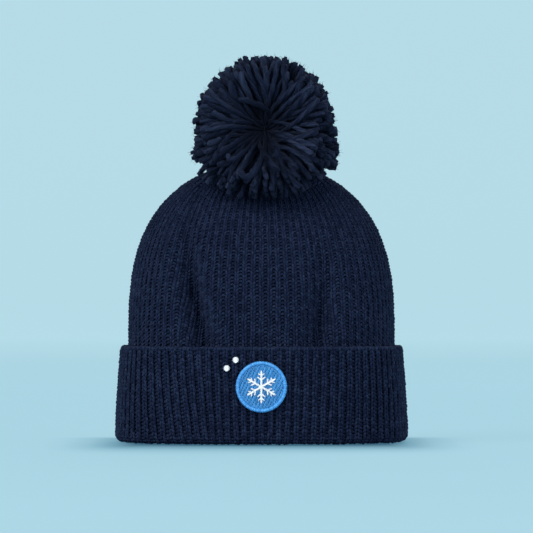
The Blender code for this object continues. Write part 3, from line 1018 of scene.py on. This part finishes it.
def maths(tree, operation, first, second, clamp=False):
    made = node(tree, "ShaderNodeMath", operation=operation, use_clamp=clamp)
    for socket, value in zip(made.inputs, (first, second)):
        if isinstance(value, (int, float)):
            socket.default_value = value
        else:
            tree.links.new(value, socket)
    return made.outputs[0]


def weighted(tree, *parts):
    """The sum of values, each times its weight."""
    total = None
    for value, weight in parts:
        share = maths(tree, "MULTIPLY", value, weight)
        total = share if total is None else maths(tree, "ADD", total, share)
    return total


def ramp(tree, amount, stops):
    made = node(tree, "ShaderNodeValToRGB")
    marks = made.color_ramp.elements
    while len(marks) < len(stops):
        marks.new(0.5)
    for mark, (place, colour) in zip(marks, stops):
        mark.position = place
        mark.color = (*colour, 1)
    tree.links.new(amount, made.inputs["Fac"])
    return made.outputs["Color"]


def fibre_material(name, dark, middle, light, roughness, sheen, sheen_tint, twist, hairs,
                   bump, specular=0.3, painted_root_shade=0.0, hairs_round=9.0):
    """Yarn or thread: plies that wind round it, fine hairs along it, and uneven dye.

    painted_root_shade is how far along a yarn the painted shade at its root reaches: the colour
    darkens towards the core, where shade falls among the crowded yarns. hairs and hairs_round
    are the scale of the fine hairs' pattern along and round a yarn.
    """
    made, tree, shader = new_material(name, roughness, sheen, sheen_tint, specular)
    place = node(tree, "ShaderNodeTexCoord").outputs["Object"]
    yarn = node(tree, "ShaderNodeAttribute", attribute_name="yarn")
    parts = node(tree, "ShaderNodeSeparateXYZ")
    tree.links.new(yarn.outputs["Vector"], parts.inputs["Vector"])
    along, around, tone = parts.outputs
    patches = noise(tree, place, 22.0)
    flecks = noise(tree, place, 900.0, detail=4.0, rough=0.7)
    wind = weighted(tree, (along, 2 * math.pi * twist), (around, 2 * math.pi * 3))
    plies = maths(tree, "MULTIPLY", maths(tree, "SINE", wind, 0), 0.5)
    hair_place = node(tree, "ShaderNodeMapping")
    hair_place.inputs["Scale"].default_value = (hairs, hairs_round, 31.0)
    tree.links.new(yarn.outputs["Vector"], hair_place.inputs["Vector"])
    strands = noise(tree, hair_place.outputs["Vector"], 1.0, detail=3.0)
    shade = weighted(tree, (tone, 0.34), (patches, 0.20), (flecks, 0.40), (strands, 0.60),
                     (plies, 0.12))
    shade = maths(tree, "SUBTRACT", shade, 0.26, clamp=True)
    # Painted shade: the colour darkens towards each yarn's root in the core.
    if painted_root_shade:
        depth = maths(tree, "MULTIPLY", along, 1 / painted_root_shade, clamp=True)
        depth = maths(tree, "ADD", maths(tree, "MULTIPLY", depth, 0.95), 0.05)
        shade = maths(tree, "MULTIPLY", shade, depth)
    colour = ramp(tree, shade, ((0.20, dark), (0.50, middle), (0.85, light)))
    tree.links.new(colour, shader.inputs["Base Color"])
    height = weighted(tree, (plies, 0.6), (strands, 0.9), (flecks, 0.6))
    bumped = node(tree, "ShaderNodeBump")
    bumped.inputs["Strength"].default_value = 0.75
    bumped.inputs["Distance"].default_value = bump
    tree.links.new(height, bumped.inputs["Height"])
    tree.links.new(bumped.outputs["Normal"], shader.inputs["Normal"])
    return made


def make_materials():
    navy = dict(sheen_tint=(0.42, 0.50, 0.78))
    thread = dict(sheen=0.05, twist=900, hairs=2500.0, bump=0.00005, specular=0.5)
    blue = dict(thread, sheen_tint=(0.6, 0.8, 1.0))
    return {
        "knit_navy": fibre_material(
            "navy_rib_knit", (0.0023, 0.0050, 0.0166), (0.0064, 0.0113, 0.0326),
            (0.0187, 0.0284, 0.0640), roughness=0.92, sheen=0.03, twist=520, hairs=900.0,
            bump=0.00050, specular=0.06, **navy),
        "yarn_navy": fibre_material(
            "navy_pom_yarn", (0.0012, 0.0026, 0.0085), (0.0068, 0.0112, 0.0285),
            (0.0250, 0.0345, 0.0700), roughness=0.90, sheen=0.04, twist=0, hairs=110.0,
            bump=0.00130, specular=0.05, painted_root_shade=0.032, hairs_round=24.0, **navy),
        "thread_blue": fibre_material(
            "blue_embroidery", (0.010, 0.110, 0.300), (0.024, 0.200, 0.480),
            (0.050, 0.290, 0.620), roughness=0.42, **blue),
        "thread_light_blue": fibre_material(
            "light_blue_embroidery", (0.026, 0.180, 0.480), (0.050, 0.280, 0.650),
            (0.110, 0.410, 0.800), roughness=0.40, **blue),
        "thread_white": fibre_material(
            "white_embroidery", (0.72, 0.70, 0.73), (0.84, 0.82, 0.85), (0.93, 0.92, 0.95),
            roughness=0.45, sheen_tint=(1, 1, 1), **thread),
        "backing_white": fibre_material(
            "white_backing", (0.50, 0.50, 0.50), (0.60, 0.60, 0.60), (0.70, 0.70, 0.70),
            roughness=0.95, sheen=0.0, sheen_tint=(1, 1, 1), twist=0, hairs=1.0,
            bump=0.0001, specular=0.2),
    }


# --- stage, light and camera ---

PAPER_DARK = (0.034, 0.056, 0.064)
PAPER_LIGHT = (0.038, 0.060, 0.070)
FLOOR_GLOW = (0.326, 0.545, 0.636)      # the paper's own glow, standing in for lamps outside the picture that light it evenly
WALL_GLOW = (0.445, 0.668, 0.750)
# The hat's soft shadow, painted on the paper's glow, side by side: where its fading starts, and
#  how many times faster it fades there than towards the front.
PAINTED_SHADE_FOOT = (("X", 1, 0.092, 3.0), ("X", -1, 0.092, 3.0),
              ("Y", -1, 0.074, 1.0), ("Y", 1, 0.074, 3.0))
PAINTED_SHADE = ((0.00, 0.14, 0.24, 0.32), (0.045, 0.42, 0.55, 0.62), (0.100, 0.74, 0.82, 0.86),
         (0.160, 0.94, 0.96, 0.97), (0.210, 1.0, 1.0, 1.0))     # distance, red, green, blue
PICTURE_WIDTH = 0.3928      # what the camera takes in at the hat's middle
CAMERA_AIM = (0.0037, 0.1293)       # across and up
CAMERA_DISTANCE = 4.0


def make_stage():
    """A pale blue floor that curves up into a wall all round, like a studio sweep."""
    floor_radius, curve_radius, wall_top = 6.0, 2.0, 5.0
    arc = np.linspace(0, math.pi / 2, 14)
    radii = np.concatenate([np.linspace(0.02, floor_radius, 24),
                            floor_radius + curve_radius * np.sin(arc[1:]),
                            [floor_radius + curve_radius]])
    heights = np.concatenate([np.zeros(24), curve_radius * (1 - np.cos(arc[1:])), [wall_top]])
    sides = 96
    turn = 2 * np.pi * np.arange(sides) / sides
    points = np.stack([radii[:, None] * np.cos(turn), radii[:, None] * np.sin(turn),
                       heights[:, None] + 0 * turn], -1)
    sweep = make_mesh("studio_sweep", points.reshape(-1, 3), ring_quads(len(radii), sides),
                      np.arange(sides)[None])
    made, tree, shader = new_material("pale_blue_paper", 0.9, specular=0.1)
    place = node(tree, "ShaderNodeTexCoord").outputs["Object"]
    grain = noise(tree, place, 3.0)
    colour = ramp(tree, grain, ((0.3, PAPER_DARK), (0.7, PAPER_LIGHT)))
    tree.links.new(colour, shader.inputs["Base Color"])
    away = node(tree, "ShaderNodeVectorMath", operation="LENGTH")
    tree.links.new(place, away.inputs[0])
    far = maths(tree, "MULTIPLY", away.outputs["Value"], 1 / (floor_radius + curve_radius))
    glow = ramp(tree, far, ((0.05, FLOOR_GLOW), (1.0, WALL_GLOW)))
    glow.node.color_ramp.interpolation = "EASE"
    # Painted shadow: the paper's glow darkens round the hat's footprint, for the shade the hat
    # casts.
    axes = node(tree, "ShaderNodeSeparateXYZ")
    tree.links.new(place, axes.inputs["Vector"])
    beyond = 0
    for axis, side, half, haste in PAINTED_SHADE_FOOT:
        past = maths(tree, "SUBTRACT", maths(tree, "MULTIPLY", axes.outputs[axis], side), half)
        past = maths(tree, "MULTIPLY", maths(tree, "MAXIMUM", past, 0), haste)
        beyond = maths(tree, "ADD", maths(tree, "MULTIPLY", past, past), beyond)
    beyond = maths(tree, "SQRT", beyond, 0)
    shade = ramp(tree, beyond, [(where, share) for where, *share in PAINTED_SHADE])
    shaded = node(tree, "ShaderNodeMix", data_type="RGBA", blend_type="MULTIPLY")
    shaded.inputs["Factor"].default_value = 1
    tree.links.new(glow, shaded.inputs["A"])
    tree.links.new(shade, shaded.inputs["B"])
    tree.links.new(shaded.outputs["Result"], shader.inputs["Emission Color"])
    shader.inputs["Emission Strength"].default_value = 1.0
    sweep.data.materials.append(made)


def area_light(name, place, target, size, power, colour=(1, 1, 1)):
    lamp = bpy.data.lights.new(name, "AREA")
    lamp.shape = "DISK"
    lamp.size = size
    lamp.energy = power
    lamp.color = colour
    made = bpy.data.objects.new(name, lamp)
    bpy.context.scene.collection.objects.link(made)
    made.location = place
    made.rotation_euler = (Vector(target) - Vector(place)).to_track_quat("-Z", "Y").to_euler()
    return made


def make_lights():
    middle = (0, 0, 0.13)
    area_light("key", (-2.3, -2.1, 1.8), middle, 2.6, 122, (1.0, 0.985, 0.96))
    area_light("fill", (2.2, -2.0, 0.7), middle, 2.0, 48, (0.95, 0.98, 1.0))
    area_light("back", (0.6, 2.2, 2.2), middle, 1.6, 34)
    world = bpy.context.scene.world or bpy.data.worlds.new("studio")
    bpy.context.scene.world = world
    world.use_nodes = True
    background = world.node_tree.nodes["Background"]
    background.inputs["Color"].default_value = (0.90, 0.96, 1.0, 1)
    background.inputs["Strength"].default_value = 0.60


def make_camera():
    """Looks straight at the front from far off, so that the hat looks nearly flat."""
    camera = bpy.data.cameras.new("camera")
    camera.sensor_width = 36
    camera.lens = camera.sensor_width * CAMERA_DISTANCE / PICTURE_WIDTH
    camera.clip_end = 40
    made = bpy.data.objects.new("camera", camera)
    bpy.context.scene.collection.objects.link(made)
    made.location = (CAMERA_AIM[0], -CAMERA_DISTANCE, CAMERA_AIM[1])
    made.rotation_euler = (math.pi / 2, 0, 0)
    bpy.context.scene.camera = made


def main():
    bpy.context.scene.view_settings.view_transform = "Standard"     # colours as the paper shows
    make_camera()
    MATERIALS.update(make_materials())
    crown = make_crown()
    make_cuff()
    make_inner_band()
    make_pom()
    make_ties()
    make_back_seam(crown)
    make_badge()
    make_stage()
    make_lights()


main()
